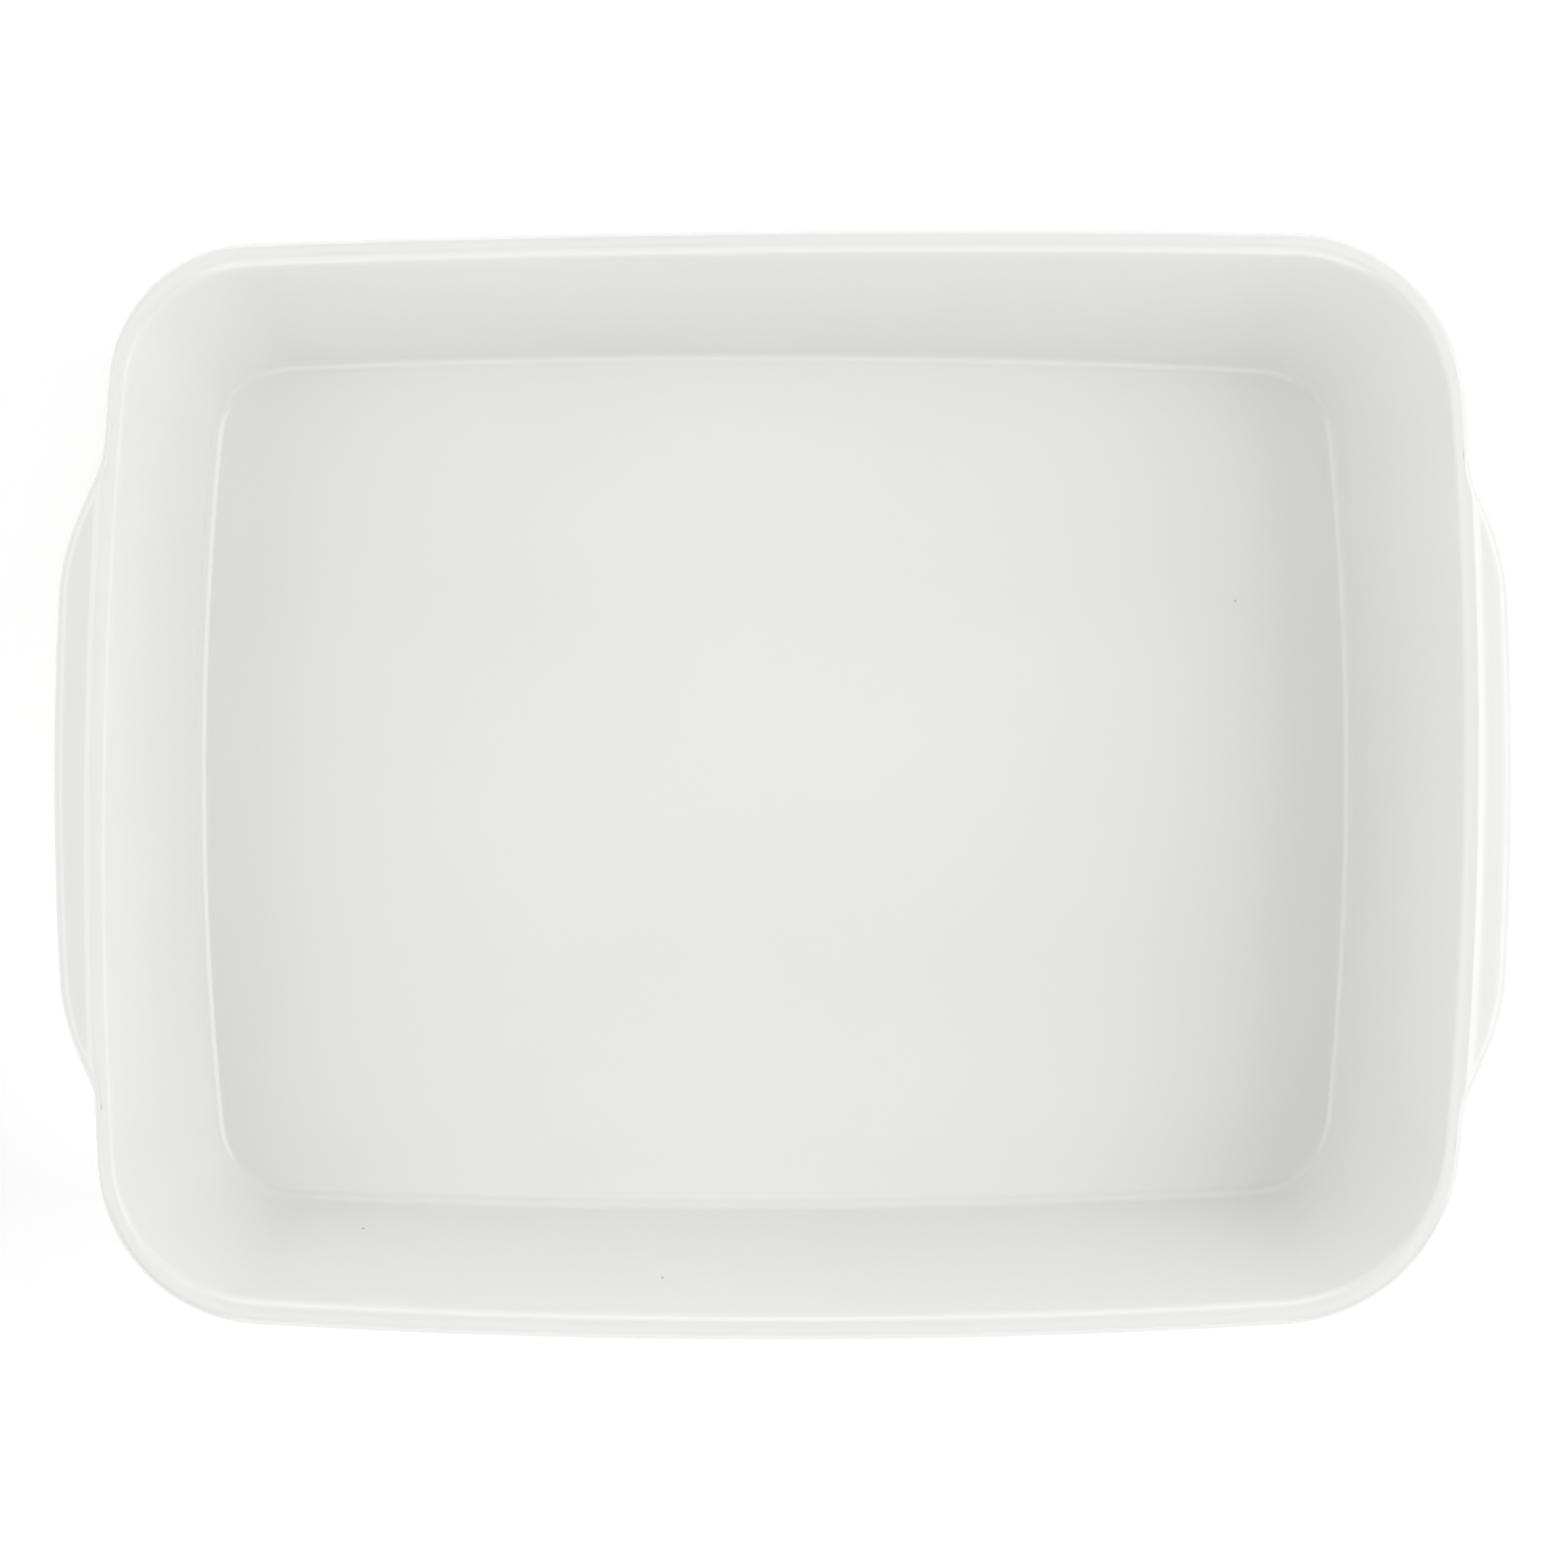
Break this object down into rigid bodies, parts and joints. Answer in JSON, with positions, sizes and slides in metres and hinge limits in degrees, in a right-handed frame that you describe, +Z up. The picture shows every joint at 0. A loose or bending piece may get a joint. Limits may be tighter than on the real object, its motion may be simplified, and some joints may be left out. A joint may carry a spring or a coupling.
{
  "type": "lasagna dish",
  "caption": "Rectangular glazed ceramic baking dish with bowed sides, leaning walls, a hollow-curved floor edge, a wing handle at each end and an unglazed foot ring.",
  "frame": {"origin": "under the middle of the dish, on the surface that its foot ring stands on", "axes": "+X from the left handle to the right handle, +Y across the dish, +Z up out of the open top"},
  "size_m": [0.38, 0.2885, 0.072],
  "materials": {
    "glaze": "clear gloss glaze over an off-white body, slightly softened, with a few tiny dark iron specks",
    "bare_clay": "bare fired clay, wiped clean of glaze, fine matt grain"
  },
  "bodies": {
    "root": {"basin": "glaze", "left_handle": "glaze", "right_handle": "glaze", "foot_ring": "bare_clay"}
  },
  "joints": []
}
